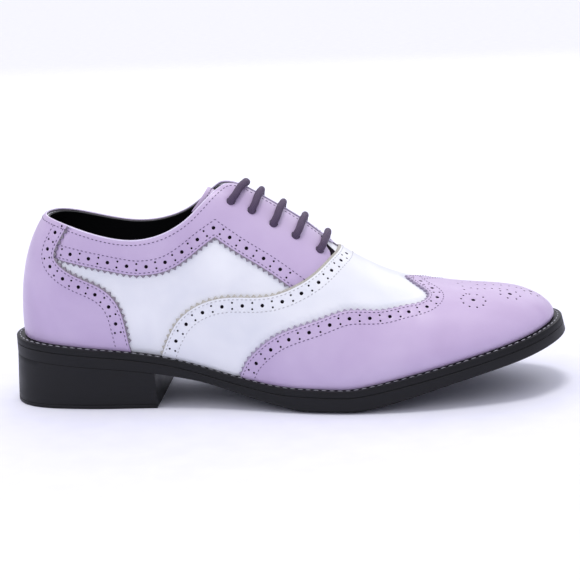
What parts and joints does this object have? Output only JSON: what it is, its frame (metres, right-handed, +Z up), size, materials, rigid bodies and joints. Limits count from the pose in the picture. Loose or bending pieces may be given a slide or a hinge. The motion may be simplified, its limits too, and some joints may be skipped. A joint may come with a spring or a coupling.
{
  "type": "spectator shoe",
  "caption": "Right two-colour wing-tip dress shoe with a hollow laced upper, open collar, welted sole and block heel.",
  "frame": {"origin": "on the floor, at the middle of the box round the whole shoe", "axes": "+X from the heel to the toe, +Y to the inner side of this right shoe, +Z up"},
  "size_m": [0.3092, 0.1042, 0.1202],
  "materials": {
    "coloured_leather": "smooth lavender leather with a soft gloss",
    "white_leather": "smooth white leather with a soft gloss",
    "insole": "black sock lining",
    "sole": "satin black",
    "welt": "satin black edge",
    "heel": "satin black",
    "lace": "waxed round cord, muted purple"
  },
  "bodies": {
    "root": {"top_lift": "heel", "heel_block": "heel", "outsole": "sole", "welt": "welt", "insole": "insole", "upper": "white_leather", "vamp": "white_leather", "toe_cap": "coloured_leather", "counter": "coloured_leather", "eyestay_outer": "coloured_leather", "eyestay_inner": "coloured_leather", "tongue": "coloured_leather", "lace_bar_1": "lace", "lace_bar_2": "lace", "lace_bar_3": "lace", "lace_bar_4": "lace", "lace_bar_5": "lace"}
  },
  "joints": []
}
